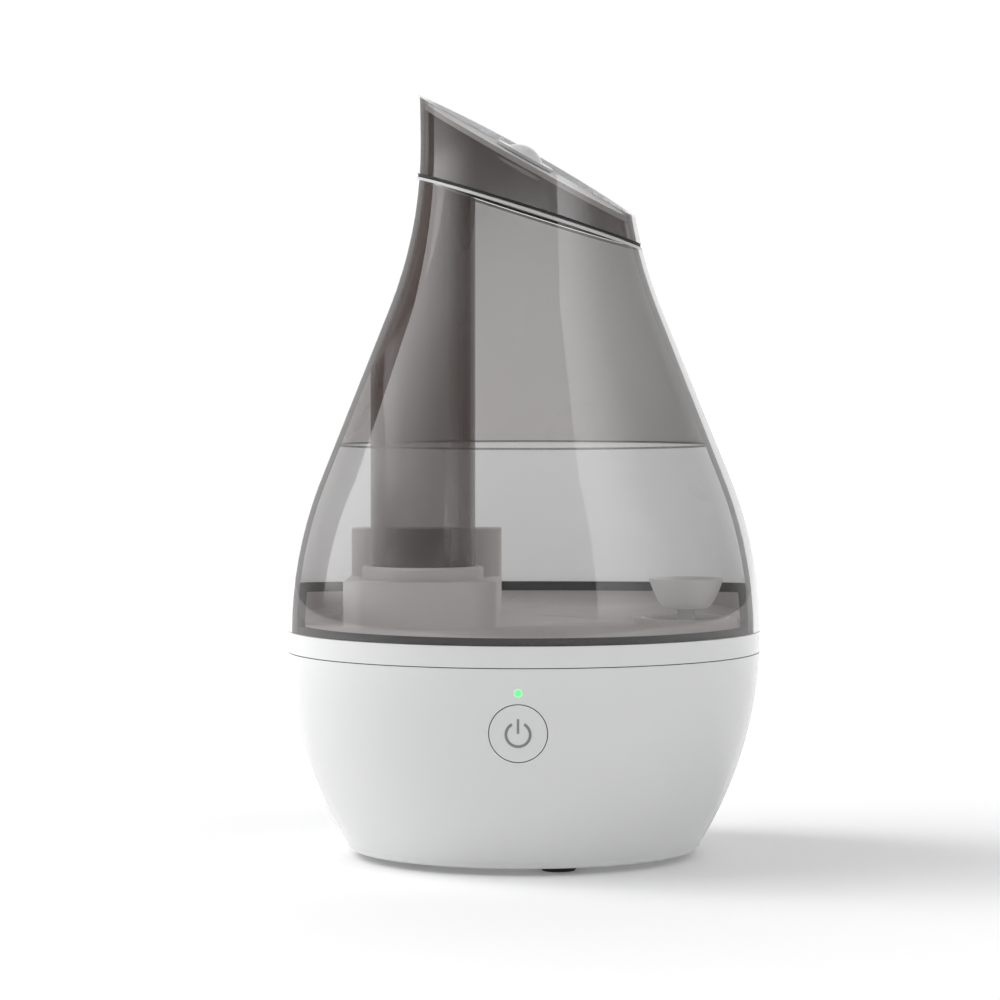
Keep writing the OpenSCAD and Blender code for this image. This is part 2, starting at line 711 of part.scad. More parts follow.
// Part of a ring, over the angle from start
module sector(z0, z1, start, sweep) {
    translate([0, 0, z0]) rotate([0, 0, start]) rotate_extrude(angle = sweep)
        translate([belly_r / 2, 0]) square([belly_r, z1 - z0]);
}

// One seal: low under the window, high over the rear sill, joined by two risers
module shell_seal() {
    top = sill_z + 12;
    riser = 2.2;
    color(black) difference() {
        intersection() {
            wall_band(ring_z + fit_gap, top, seal_inset, seal_inset + seal_w);
            half_space_below(sill_z + seal_h, 0, -atan(sill_slope));
        }
        sector(ring_z + front_seal_h, top + 1, window_start + riser, window_sweep - 2 * riser);
        intersection() {
            sector(ring_z - 1, top, back_start, back_sweep);
            half_space_below(sill_z + fit_gap, 0, -atan(sill_slope));
        }
    }
}

// Mist tube, flattened against the tank's wall where the neck closes in
module chimney() {
    near = tank_wall + 0.2;
    color(smoke, 0.6) intersection() {
        difference() {
            intersection() {
                translate(tube_place) translate([0, 0, block_z + fit_gap]) cylinder(r = tube_r, h = far);
                filled(ring_z, tip_z, near);
            }
            intersection() {
                translate(tube_place) cylinder(r = tube_r - tube_wall, h = far);
                filled(ring_z - 1, tip_z, near + tube_wall);
            }
        }
        half_space_below(mouth_z - rim_h / 2 - 0.3, mouth_tilt);
    }
}

module chimney_collar() {
    color(white) translate(tube_place) translate([0, 0, block_z]) difference() {
        union() {
            cylinder(r = collar_r, h = collar_h - 1);
            translate([0, 0, collar_h - 1]) cylinder(r1 = collar_r, r2 = collar_r - 1, h = 1);
        }
        translate([0, 0, -1]) cylinder(r = tube_r + fit_gap, h = collar_h + 2);
    }
}

// Splash guard in the tube's foot: a dome on three legs, with an upright plate behind
module mist_baffle() {
    baffle_r = tube_r - tube_wall - 5.8;
    plate_half = baffle_r - 3.5;
    dome = 7;
    ball = (baffle_r * baffle_r + dome * dome) / (2 * dome);
    leg_x = tube_r - tube_wall - 0.3;
    color(black) translate(tube_place) translate([0, 0, block_z + collar_h]) {
        difference() {
            intersection() {
                translate([0, 0, dome - ball]) sphere(r = ball);
                cylinder(r = baffle_r, h = 20);
            }
            intersection() {
                translate([0, 0, dome - ball - 1.6]) sphere(r = ball);
                translate([0, 0, -1]) cylinder(r = baffle_r - 1.6, h = 20);
            }
        }
        translate([-plate_half, baffle_r - 3.2, 0]) cube([2 * plate_half, 2, 15.5]);
        for (a = [30, 150, 270]) rotate([0, 0, a]) {
            translate([baffle_r - 2, -1.5, 0]) cube([leg_x - baffle_r + 2, 3, 1.6]);
            translate([leg_x - 2, -1.5, -collar_h + fit_gap]) cube([2, 3, collar_h]);
        }
    }
}

module valve_cap() {
    cap_foot = seam_z + 6.5;
    color(white) translate(valve_place) difference() {
        union() {
            translate([0, 0, cap_foot]) tube(cap_r, cap_r - 2, floor_z - cap_foot);
            translate([0, 0, cap_foot - 2]) tube(cap_r + 1.8, cap_r - 6, 2);
            translate([0, 0, cap_foot]) cylinder(r = cap_r, h = 2);
            translate([0, 0, cap_foot]) cylinder(r = 10, h = seat_top - cap_foot);
            translate([0, 0, cap_foot - 5]) cylinder(r = 5.6, h = 5);
        }
        translate([0, 0, cap_foot - 8]) cylinder(r = stem_r + 0.3, h = 40);
        translate([0, 0, cap_foot + 2]) cylinder(r = 7.5, h = 20);
        for (a = [0 : 90 : 270]) rotate([0, 0, a]) translate([5.9, 0, cap_foot - 1]) cylinder(r = 1.4, h = 4);
    }
}

module valve_cap_seal() {
    color([0.7, 0.72, 0.74]) translate(valve_place) translate([0, 0, floor_z + fit_gap])
        tube(cap_r - 0.2, cap_r - 2, 1.4);
}

module valve_plunger() {
    color(white) translate(valve_place) {
        translate([0, 0, stem_foot]) cylinder(r = stem_r, h = cup_base + 3 - stem_foot);
        translate([0, 0, stem_foot]) cylinder(r = 5.8, h = 1.5);
        translate([0, 0, cup_base + 3]) cylinder(r1 = 4.4, r2 = 3, h = 3);
    }
}

// Cup-shaped silicone seal on the plunger's head
module valve_cup() {
    wall = 1.4;
    deep = cup_top - cup_base;
    color([0.80, 0.80, 0.78], 0.8) translate(valve_place) translate([0, 0, cup_base]) rotate_extrude()
        polygon(concat(
            [[stem_r + fit_gap, 0], [9.4, 0]],
            [for (i = [1 : 6]) [9.4 + (cup_r - 9.4) * pow(i / 6, 0.75), deep * pow(i / 6, 1.2)]],
            [for (i = [6 : -1 : 1]) [9 - wall + (cup_r - 9) * pow(i / 6, 0.75),
                wall + (deep - wall) * pow(i / 6, 1.2)]],
            [[8, 2.6], [stem_r + fit_gap, 2.6]]));
}

spring_turns = 4;
spring_r = 5.2;
spring_wire = 0.45;
spring_foot = stem_foot + 1.6 + spring_wire;
spring_head = seam_z + 1.4 - spring_wire;
spring_steps = 16 * spring_turns;
spring_path = [for (i = [0 : spring_steps]) let (turn = 360 * spring_turns * i / spring_steps)
    [spring_r * cos(turn), spring_r * sin(turn),
     spring_foot + (spring_head - spring_foot) * i / spring_steps]];

module valve_spring() {
    color(steel) translate(valve_place) swept_tube(spring_path, spring_wire, 6, [0, 0, 1]);
}

/* Lid */

lid_foot = mouth_z + rim_h / 2 + gap + 1.2;

module lid_space() {
    difference() {
        intersection() {
            children();
            half_space_above(lid_foot, mouth_tilt);
        }
        translate([0, 0, top_z]) rotate([top_front_tilt, top_side_tilt, 0]) translate([-far, 0, dish_arc])
            rotate([0, 90, 0]) cylinder(r = dish_arc, h = 2 * far, $fn = 720);
    }
}

module lid_front() {
    color(smoke, 0.6) lid_space()
        wall_band(mouth_z - 60, tip_z, 0, lid_wall, window_start + 0.1, window_sweep - 0.2);
}

module at_nozzle() {
    translate([0, 0, plate_z]) rotate([top_front_tilt, top_side_tilt, 0]) children();
}

module lid_back() {
    color(white) difference() {
        union() {
            lid_space() wall_band(mouth_z - 60, tip_z, 0, lid_wall, back_start, back_sweep);
            intersection() {
                filled(mouth_z - 60, tip_z, lid_wall + fit_gap);
                half_space_below(plate_z, top_side_tilt, top_front_tilt);
                half_space_above(plate_z - rib, top_side_tilt, top_front_tilt);
            }
            lid_space() wall_band(mouth_z - 60, tip_z, lid_wall - 0.5, lid_wall + 1.5, back_start, back_sweep);
        }
        at_nozzle() translate([0, 0, -20]) cylinder(r = nozzle_neck_r + gap, h = 40);
    }
}

module lid_seal() {
    color(black) intersection() {
        wall_band(mouth_z - 60, tip_z, 0.5, tank_wall + 1);
        half_space_above(lid_foot - 1.2, mouth_tilt);
        half_space_below(lid_foot - fit_gap, mouth_tilt);
    }
}

// Inner hood that gathers the mist under the nozzle
module lid_duct() {
    color(smoke, 0.6) intersection() {
        wall_band(mouth_z - 60, tip_z, lid_wall + 2.4, lid_wall + 4);
        half_space_above(lid_foot + 0.5, mouth_tilt);
        half_space_below(plate_z - rib - fit_gap, top_side_tilt, top_front_tilt);
    }
}

module mist_nozzle() {
    dome_drop = 6.2;
    color(white) at_nozzle() difference() {
        union() {
            intersection() {
                translate([0, 0, -dome_drop]) sphere(r = dome_r);
                translate([0, 0, 0.3]) cylinder(r = 20, h = 20);
            }
            translate([0, 0, 0.3]) cylinder(r = 14, h = 1.4);
            translate([0, 0, -rib - 3.2]) cylinder(r = nozzle_neck_r, h = rib + 4);
            translate([0, 0, -rib - 3.2]) cylinder(r = nozzle_neck_r + 1.2, h = 1.6);
        }
        translate([0, 0, -20]) cylinder(r = nozzle_neck_r - 1.8, h = 19);
        translate([0, 0, -dome_drop]) sphere(r = dome_r - 2);
        rotate([-38, 0, 0]) translate([0, 0, -1]) cylinder(r = 3.6, h = 20);
    }
}

base_body();
basin();
bottom_cover();
rubber_feet();
bottom_screws();
dc_jack();
driver_board();
board_screws();
heat_sink();
fan_frame();
fan_rotor();
fan_screws();
air_duct();
transducer_disc();
transducer_seal();
transducer_holder();
transducer_screws();
control_board();
tact_switch();
status_led();
light_pipe();
button_guide();
power_button();
level_float();
float_magnet();
float_clip();
level_sensor();
jack_lead();
panel_lead();
transducer_lead();
fan_lead();
tank_floor();
tank_window();
tank_back();
tank_rim();
shell_seal();
chimney();
chimney_collar();
mist_baffle();
valve_cap();
valve_cap_seal();
valve_plunger();
valve_cup();
valve_spring();
lid_front();
lid_back();
lid_seal();
lid_duct();
mist_nozzle();
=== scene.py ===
import json
import math
import bmesh
import bpy
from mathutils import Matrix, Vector

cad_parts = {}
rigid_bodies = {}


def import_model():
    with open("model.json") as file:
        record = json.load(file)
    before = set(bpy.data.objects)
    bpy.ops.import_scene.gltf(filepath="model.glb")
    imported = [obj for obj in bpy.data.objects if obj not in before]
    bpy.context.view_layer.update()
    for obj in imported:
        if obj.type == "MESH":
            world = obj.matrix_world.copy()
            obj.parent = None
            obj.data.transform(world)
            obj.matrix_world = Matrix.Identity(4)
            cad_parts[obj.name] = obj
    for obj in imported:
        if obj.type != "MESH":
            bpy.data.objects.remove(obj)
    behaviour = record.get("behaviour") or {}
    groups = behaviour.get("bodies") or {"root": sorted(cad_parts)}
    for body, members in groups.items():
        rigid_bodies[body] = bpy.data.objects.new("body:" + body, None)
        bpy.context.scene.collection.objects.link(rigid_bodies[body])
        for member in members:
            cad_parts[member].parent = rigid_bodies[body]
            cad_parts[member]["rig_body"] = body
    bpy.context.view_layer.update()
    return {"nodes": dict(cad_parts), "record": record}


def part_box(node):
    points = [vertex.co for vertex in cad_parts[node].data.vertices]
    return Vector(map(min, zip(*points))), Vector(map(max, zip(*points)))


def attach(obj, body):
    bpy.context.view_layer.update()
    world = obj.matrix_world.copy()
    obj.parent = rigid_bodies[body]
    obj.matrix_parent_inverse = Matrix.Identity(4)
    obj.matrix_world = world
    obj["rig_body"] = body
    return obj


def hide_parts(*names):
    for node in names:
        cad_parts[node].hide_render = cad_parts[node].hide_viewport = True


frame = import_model()
nodes = frame["nodes"]
scene = bpy.context.scene

# ---------------------------------------------------------------- outline
# The same outline as the frame's, in metres
BELLY_R, BELLY_Z, BOWL_ARC = 0.1055, 0.100, 0.180
NECK_R, NECK_Z, FLARE_ARC = 0.0474, 0.315, 0.660
FLANK_SHARE, SHOULDER_SHARE = 0.734, 0.486
BASE_WALL, TANK_WALL, LID_WALL = 0.0028, 0.0024, 0.0022
WATER_Z, WATER_FOOT_Z = 0.1823, 0.1065
WELD = 0.00001  # the corners of a frame mesh are split, and this joins them

flank = FLANK_SHARE * 2 * math.atan((BELLY_R - NECK_R) / (NECK_Z - BELLY_Z))
arc_sum = ((NECK_Z - BELLY_Z) * math.sin(flank)
           - (BELLY_R - NECK_R) * math.cos(flank)) / (1 - math.cos(flank))
SHOULDER_ARC = SHOULDER_SHARE * arc_sum
NECK_ARC = arc_sum - SHOULDER_ARC


def r_at(z, t=0.0):
    """The outline's radius at height z, t inside the outer face"""
    if z <= BELLY_Z:
        return BELLY_R - BOWL_ARC + math.sqrt((BOWL_ARC - t) ** 2 - (z - BELLY_Z) ** 2)
    top = BELLY_Z + (SHOULDER_ARC - t) * math.sin(flank)
    if z <= top:
        return BELLY_R - SHOULDER_ARC + math.sqrt((SHOULDER_ARC - t) ** 2 - (z - BELLY_Z) ** 2)
    if z <= NECK_Z - (NECK_ARC + t) * math.sin(flank):
        return (BELLY_R - SHOULDER_ARC + (SHOULDER_ARC - t) * math.cos(flank)
                - (z - top) * math.tan(flank))
    if z <= NECK_Z:
        return NECK_R + NECK_ARC - math.sqrt((NECK_ARC + t) ** 2 - (z - NECK_Z) ** 2)
    return NECK_R + FLARE_ARC - math.sqrt((FLARE_ARC + t) ** 2 - (z - NECK_Z) ** 2)


def outline_normal(x, y, z, t=0.0):
    h = 0.0005
    slope = (r_at(z + h, t) - r_at(z - h, t)) / (2 * h)
    r = math.hypot(x, y) or 1e-9
    return Vector((x / r, y / r, -slope)).normalized()


# ---------------------------------------------------------------- materials
class Nodes:
    def __init__(self, name, base, rough, **sockets):
        self.m = bpy.data.materials.new(name)
        self.m.use_nodes = True
        self.t = self.m.node_tree
        self.b = self.t.nodes["Principled BSDF"]
        self.b.inputs["Base Color"].default_value = (*base[:3], 1)
        self.b.inputs["Roughness"].default_value = rough
        for key, value in sockets.items():
            self.b.inputs[key.replace("_", " ")].default_value = value
        self.coord = self.t.nodes.new("ShaderNodeTexCoord")

    def add(self, kind, **values):
        n = self.t.nodes.new(kind)
        for key, value in values.items():
            if hasattr(n, key):
                setattr(n, key, value)
            else:
                n.inputs[key.replace("_", " ")].default_value = value
        return n

    def link(self, a, b):
        self.t.links.new(a, b)

    def noise(self, scale, detail=2.0, stretch=(1, 1, 1)):
        mapping = self.add("ShaderNodeMapping", Scale=stretch)
        n = self.add("ShaderNodeTexNoise", Scale=scale, Detail=detail)
        self.link(self.coord.outputs["Object"], mapping.inputs["Vector"])
        self.link(mapping.outputs["Vector"], n.inputs["Vector"])
        return n.outputs["Fac"]

    def ramp(self, source, low, high, start=0.3, end=0.7):
        r = self.add("ShaderNodeMapRange")
        r.inputs["From Min"].default_value = start
        r.inputs["From Max"].default_value = end
        r.inputs["To Min"].default_value = low
        r.inputs["To Max"].default_value = high
        self.link(source, r.inputs["Value"])
        return r.outputs["Result"]

    def tint(self, source, dark, light, start=0.3, end=0.7):
        r = self.add("ShaderNodeValToRGB")
        r.color_ramp.elements[0].position = start
        r.color_ramp.elements[1].position = end
        r.color_ramp.elements[0].color = (*dark, 1)
        r.color_ramp.elements[1].color = (*light, 1)
        self.link(source, r.inputs["Fac"])
        self.link(r.outputs["Color"], self.b.inputs["Base Color"])

    def tint_to(self, socket, source, a, b):
        r = self.add("ShaderNodeValToRGB")
        r.color_ramp.elements[0].color = (a, a, a, 1)
        r.color_ramp.elements[1].color = (b, b, b, 1)
        self.link(source, r.inputs["Fac"])
        self.link(r.outputs["Color"], self.b.inputs[socket])

    def bump(self, source, strength, distance):
        n = self.add("ShaderNodeBump", Strength=strength, Distance=distance)
        self.link(source, n.inputs["Height"])
        self.link(n.outputs["Normal"], self.b.inputs["Normal"])


def shade(c, f):
    return tuple(min(1.0, v * f) for v in c)


def moulded(name, base, low, high, grain=900, height=0.00002, strength=0.12, vary=0.02, **sockets):
    """Moulded plastic: a faint mould texture, slow colour drift and uneven polish"""
    n = Nodes(name, base, low, **sockets)
    n.tint(n.noise(9, 3), shade(base, 1 - vary), shade(base, 1 + vary))
    n.link(n.ramp(n.noise(14, 4), low, high), n.b.inputs["Roughness"])
    n.bump(n.noise(grain, 3), strength, height)
    return n.m


def metal(name, base, low, high, stretch=(1, 1, 1), scale=500):
    n = Nodes(name, base, low, Metallic=1.0)
    streak = n.noise(scale, 4, stretch)
    n.tint(streak, shade(base, 0.8), shade(base, 1.08))
    n.link(n.ramp(streak, low, high), n.b.inputs["Roughness"])
    n.bump(streak, 0.25, 0.00003)
    return n.m


WHITE = (0.70, 0.703, 0.708)
white_shell = moulded("white_shell", WHITE, 0.20, 0.27, Coat_Weight=0.25, Coat_Roughness=0.12)
white_moulding = moulded("white_moulding", (0.76, 0.765, 0.77), 0.36, 0.46, grain=1400, strength=0.2)
black_rubber = moulded("black_rubber", (0.012, 0.012, 0.013), 0.55, 0.72,
                       grain=2600, strength=0.4, vary=0.2)
black_plastic = moulded("black_plastic", (0.014, 0.014, 0.015), 0.38, 0.5,
                        grain=2200, strength=0.35, vary=0.2)
lead_black = moulded("lead_black", (0.015, 0.015, 0.016), 0.4, 0.5, grain=1800, vary=0.2)
lead_grey = moulded("lead_grey", (0.42, 0.42, 0.43), 0.4, 0.5, grain=1800, vary=0.06)
lead_red = moulded("lead_red", (0.42, 0.02, 0.02), 0.4, 0.5, grain=1800, vary=0.08)
# The silicone's emission is a painted glow standing in for light passing through it
silicone = moulded("silicone", (0.66, 0.655, 0.64), 0.42, 0.55, grain=1500, strength=0.08,
                   Emission_Color=(0.09, 0.088, 0.085, 1), Emission_Strength=1.0)
steel = metal("steel", (0.60, 0.60, 0.61), 0.22, 0.38)
aluminium = metal("aluminium", (0.70, 0.71, 0.72), 0.3, 0.45, stretch=(1, 1, 12))
brass = metal("brass", (0.68, 0.52, 0.26), 0.2, 0.36)


def board_material():
    n = Nodes("board", (0.01, 0.10, 0.045), 0.35, Coat_Weight=0.4, Coat_Roughness=0.15)
    brick = n.add("ShaderNodeTexBrick", Scale=260.0)
    brick.inputs["Color1"].default_value = (0.010, 0.085, 0.040, 1)
    brick.inputs["Color2"].default_value = (0.012, 0.115, 0.050, 1)
    brick.inputs["Mortar"].default_value = (0.020, 0.170, 0.075, 1)
    n.link(n.coord.outputs["Object"], brick.inputs["Vector"])
    n.link(brick.outputs["Color"], n.b.inputs["Base Color"])
    n.bump(brick.outputs["Fac"], 0.2, 0.00003)
    return n.m


board = board_material()


def smoke_material(name, base, alpha, edge_alpha, rough, ior):
    """Smoked clear plastic: denser towards its edges, with faint moulding waves"""
    n = Nodes(name, base, rough, IOR=ior)
    n.tint(n.noise(7, 2), shade(base, 0.92), shade(base, 1.08))
    facing = n.add("ShaderNodeLayerWeight", Blend=0.5)
    n.link(n.ramp(facing.outputs["Facing"], alpha, edge_alpha, 0.1, 0.95), n.b.inputs["Alpha"])
    n.link(n.ramp(n.noise(22, 3), rough, rough + 0.03), n.b.inputs["Roughness"])
    n.bump(n.noise(11, 1), 0.01, 0.0002)
    n.m.blend_method = "BLEND"
    return n.m


SMOKE = (0.042, 0.025, 0.019)
smoke_outer = smoke_material("smoke_outer", SMOKE, 0.15, 0.54, 0.03, 3.0)
smoke_inner = smoke_material("smoke_inner", SMOKE, 0.03, 0.08, 0.05, 1.3)
smoke_tube = smoke_material("smoke_tube", (0.088, 0.056, 0.048), 0.36, 0.85, 0.06, 1.8)
smoke_lid = smoke_material("smoke_lid", (0.050, 0.035, 0.030), 0.38, 0.60, 0.04, 2.6)
smoke_hood = smoke_material("smoke_hood", (0.085, 0.062, 0.055), 0.08, 0.40, 0.06, 1.8)
smoke_dark = smoke_material("smoke_dark", (0.012, 0.011, 0.011), 0.8, 0.95, 0.08, 1.5)


def lamp_material():
    n = Nodes("green_lamp", (0.05, 0.55, 0.12), 0.2)
    drift = n.noise(600, 2)
    n.tint(drift, (0.04, 0.50, 0.10), (0.10, 0.75, 0.16))
    n.b.inputs["Emission Color"].default_value = (0.07, 0.95, 0.12, 1)
    n.b.inputs["Emission Strength"].default_value = 2.2
    return n.m


green_lamp = lamp_material()


def water_material():
    n = Nodes("water", (0.80, 0.84, 0.86), 0.03, IOR=1.33)
    n.link(n.ramp(n.noise(40, 2), 0.05, 0.08), n.b.inputs["Alpha"])
    n.bump(n.noise(25, 2), 0.05, 0.0005)
    n.m.blend_method = "BLEND"
    return n.m


water_mat = water_material()


def back_glow_material():
    """Inside of the thin white back: a painted glow stands in for daylight coming through it. It is
    brighter below the water line, fades towards the top, and has painted shade towards the right above the
    water
    """
    n = Nodes("back_inside_glow", (0.78, 0.785, 0.79), 0.3)
    n.link(n.ramp(n.noise(14, 4), 0.26, 0.34), n.b.inputs["Roughness"])
    n.bump(n.noise(900, 3), 0.03, 0.00002)
    place = n.add("ShaderNodeSeparateXYZ")
    n.link(n.coord.outputs["Object"], place.inputs["Vector"])
    height = n.ramp(place.outputs["Z"], 0.0, 1.0, WATER_Z - 0.10, WATER_Z + 0.10)
    glow = n.add("ShaderNodeValToRGB")
    r = glow.color_ramp
    r.elements[0].position, r.elements[0].color = 0.0, (*BACK_WET_GLOW, 1)
    r.elements[1].position, r.elements[1].color = 1.0, (*shade(BACK_DRY_GLOW, 0.8), 1)
    for place_at, colour in ((0.494, BACK_WET_GLOW), (0.506, BACK_DRY_GLOW)):
        e = r.elements.new(place_at)
        e.color = (*colour, 1)
    n.link(height, glow.inputs["Fac"])
    n.link(glow.outputs["Color"], n.b.inputs["Emission Color"])
    dry = n.ramp(place.outputs["Z"], 0.0, 1.0, WATER_Z - 0.0005, WATER_Z + 0.0005)
    # Painted shade: above the water the painted glow fades towards the right side
    side = n.ramp(place.outputs["X"], 1.0, 0.05, 0.015, 0.068)
    blend = n.add("ShaderNodeMapRange")
    blend.inputs["To Min"].default_value = 1.0
    n.link(side, blend.inputs["To Max"])
    n.link(dry, blend.inputs["Value"])
    n.link(blend.outputs["Result"], n.b.inputs["Emission Strength"])
    return n.m


# Colours of the painted glow on the back's inside, above and below the water
BACK_DRY_GLOW, BACK_WET_GLOW = (0.172, 0.165, 0.158), (0.36, 0.36, 0.362)
back_inside_glow = back_glow_material()
# Inside parts of the tank: the emission is a painted glow standing in for light coming through the plastic
tank_inside_glow = moulded("tank_inside_glow", (0.45, 0.428, 0.419), 0.34, 0.44, grain=1200, strength=0.1,
                      Emission_Color=(0.060, 0.055, 0.053, 1), Emission_Strength=1.0)
# Painted shade: a dark smoky colour for the line at the water's edge
water_edge_shade = smoke_material("water_edge_shade", (0.10, 0.085, 0.080), 0.55, 0.75, 0.1, 1.4)
# Painted shade: a dark colour for the underside of the lid's top plate
lid_under_painted_shade = moulded("lid_under_painted_shade", (0.050, 0.040, 0.036), 0.35, 0.45, grain=1200, strength=0.1)
# Painted shade: the tank's white rim is coloured grey all round to tone down its bright line
rim_shaded_grey = moulded("rim_shaded_grey", (0.50, 0.497, 0.493), 0.30, 0.40, grain=1200, strength=0.1)
symbol_grey = moulded("symbol_grey", (0.22, 0.225, 0.23), 0.4, 0.5, grain=1500)

of_slot = {
    "white_shell": white_shell, "white_moulding": white_moulding, "smoked_clear": smoke_outer,
    "dark_smoked": smoke_dark, "black_rubber": black_rubber, "silicone": silicone,
    "black_plastic": black_plastic, "board": board, "steel": steel, "aluminium": aluminium,
    "transducer": brass, "green_lamp": green_lamp, "lead_black": lead_black,
    "lead_grey": lead_grey, "lead_red": lead_red,
}
slot_of = {s["node"]: s["material_slot"] for s in frame["record"]["subparts"]}
for name, obj in nodes.items():
    mesh = obj.data
    mesh.materials.clear()
    mesh.materials.append(of_slot[slot_of[name]])


# ---------------------------------------------------------------- smooth skins
def merged(name):
    """A copy of a frame node's mesh, with its split corners joined again"""
    bm = bmesh.new()
    bm.from_mesh(nodes[name].data)
    bmesh.ops.remove_doubles(bm, verts=bm.verts, dist=WELD)
    return bm


NEAR = 0.00022  # a face this close to an inset of the outline lies on it
skinned = set()


def skin(name, insets, materials=None, other=0, angle=32):
    """The node's own shape, shaded with the outline's true normals instead of flat bands.
    insets: {inset: material index}; the other faces get the material `other` and are sharp
    where they meet at more than `angle` degrees."""
    skinned.add(name)
    bm = merged(name)
    which = {}
    for f in bm.faces:
        f.smooth = True
        f.material_index = other
        c = f.calc_center_median()
        for t, index in insets.items():
            if all(abs(math.hypot(v.co.x, v.co.y) - r_at(v.co.z, t)) < NEAR for v in f.verts):
                side = outline_normal(c.x, c.y, c.z, t)
                if abs(f.normal.dot(side)) > 0.9:
                    which[f.index] = (t, index)
                    f.material_index = index
                    break
    mesh = bpy.data.meshes.new("skin_" + name)
    bm.to_mesh(mesh)
    bm.free()
    for m in materials or [of_slot[slot_of[name]]]:
        mesh.materials.append(m)
    obj = bpy.data.objects.new("skin_" + name, mesh)
    scene.collection.objects.link(obj)
    mesh.set_sharp_from_angle(angle=math.radians(angle))
    split = [Vector(c.vector) for c in mesh.corner_normals]
    for poly in mesh.polygons:
        if poly.index in which:
            t = which[poly.index][0]
            for li in poly.loop_indices:
                co = mesh.vertices[mesh.loops[li].vertex_index].co
                n = outline_normal(co.x, co.y, co.z, t)
                split[li] = n if n.dot(poly.normal) > 0 else -n
    mesh.normals_split_custom_set(split)
    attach(obj, nodes[name]["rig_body"])
    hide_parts(name)
    return obj


def soften(name, angle=32):
    """Smooth shading on a frame node, with its real edges sharp"""
    obj = nodes[name]
    for p in obj.data.polygons:
        p.use_smooth = True
    weld = obj.modifiers.new("weld", "WELD")
    weld.merge_threshold = WELD
    split = obj.modifiers.new("split", "EDGE_SPLIT")
    split.split_angle = math.radians(angle)


skin("base_body", {0: 0, BASE_WALL: 0})
skin("tank_floor", {0: 0}, [white_shell, tank_inside_glow], other=1)
skin("tank_window", {0: 0, TANK_WALL: 1}, [smoke_outer, smoke_inner])
skin("tank_back", {0: 0, TANK_WALL: 1}, [white_shell, back_inside_glow])
# The rim gets the grey painted-shade colour instead of white
skin("tank_rim", {0: 0, TANK_WALL + 0.0012: 0}, [rim_shaded_grey])
skin("lid_front", {0: 0, LID_WALL: 1}, [smoke_lid, smoke_inner])
# Painted shade: the edge of the lid's top plate is painted dark where it meets the smoked front, and its
# underside is painted dark too
lid_skin = skin("lid_back", {0: 0, LID_WALL: 1, LID_WALL + 0.00005: 2},
                [white_shell, tank_inside_glow, smoke_dark, lid_under_painted_shade], angle=10)
for poly in lid_skin.data.polygons:
    if poly.normal.z < -0.8 and poly.center.z > 0.26:
        poly.material_index = 3
skin("lid_duct", {LID_WALL + 0.0024: 0, LID_WALL + 0.004: 1}, [smoke_hood, smoke_inner])
skin("power_button", {0: 0})
skin("chimney", {TANK_WALL + 0.0002: 0}, [smoke_tube])


# ---------------------------------------------------------------- added pieces
def new_object(name, bm, material, body):
    mesh = bpy.data.meshes.new(name)
    bm.normal_update()
    for f in bm.faces:
        f.smooth = True
    bm.to_mesh(mesh)
    bm.free()
    mesh.materials.append(material)
    mesh.set_sharp_from_angle(angle=math.radians(35))
    obj = bpy.data.objects.new(name, mesh)
    scene.collection.objects.link(obj)
    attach(obj, body)
    return obj


def circle(bm, r, z, n, centre=(0, 0)):
    turns = [2 * math.pi * i / n for i in range(n)]
    return [bm.verts.new((centre[0] + r * math.cos(a), centre[1] + r * math.sin(a), z)) for a in turns]


def bridge(bm, rings):
    """Faces between each ring and the next"""
    for a, b in zip(rings, rings[1:]):
        n = len(a)
        for i in range(n):
            bm.faces.new((a[i], a[(i + 1) % n], b[(i + 1) % n], b[i]))


def water():
    """Water up to WATER_Z: its side against the tank's wall, and its top round the mist tube"""
    bm = bmesh.new()
    sides, levels, hole_sides, clear, collar_wall = 128, 16, 64, 0.0003, 0.0033
    heights = [WATER_FOOT_Z + (WATER_Z - WATER_FOOT_Z) * i / levels for i in range(levels + 1)]
    rings = [circle(bm, r_at(z, TANK_WALL + clear), z, sides) for z in heights]
    bridge(bm, rings)
    lo, hi = (Vector(v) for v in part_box("chimney_collar"))
    hole = (hi.x - lo.x) / 2 - collar_wall
    inner = circle(bm, hole, WATER_Z, hole_sides, (lo + hi) / 2)
    edges = [bm.edges.new((inner[i], inner[(i + 1) % hole_sides])) for i in range(hole_sides)]
    edges += [bm.edges.get((rings[-1][i], rings[-1][(i + 1) % sides])) for i in range(sides)]
    bmesh.ops.triangle_fill(bm, edges=edges, use_beauty=True)
    bmesh.ops.recalc_face_normals(bm, faces=bm.faces)
    return new_object("water", bm, water_mat, "tank")


def power_symbol():
    """A ring with a gap at its top and a short bar, lying on the button's curved face"""
    lo, hi = (Vector(v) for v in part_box("power_button"))
    z0 = (lo.z + hi.z) / 2
    bm = bmesh.new()

    def at(x, z):
        return bm.verts.new((x, -math.sqrt(r_at(z) ** 2 - x * x) - 0.00006, z))

    def strip(points):
        rows = [[at(*p) for p in row] for row in points]
        for a, b in zip(rows, rows[1:]):
            for i in range(len(a) - 1):
                bm.faces.new((a[i], a[i + 1], b[i + 1], b[i]))

    half, bar_half, r_mid, bar_length, drop = 0.0006, 0.0005, 0.0051, 0.0063, 0.0004
    gap, steps, bar_steps = 60, 48, 6
    arc = []
    for i in range(steps + 1):
        turn = math.radians(90 + gap / 2 + (360 - gap) * i / steps)
        arc.append([((r_mid + k) * math.cos(turn), z0 - drop + (r_mid + k) * math.sin(turn))
                    for k in (-half, 0, half)])
    strip(arc)
    strip([[(x, z0 + bar_length * i / bar_steps) for x in (-bar_half, 0, bar_half)]
           for i in range(bar_steps + 1)])
    bmesh.ops.recalc_face_normals(bm, faces=bm.faces)
    return new_object("power_symbol", bm, symbol_grey, "button")


SEAM_SIDES = 160


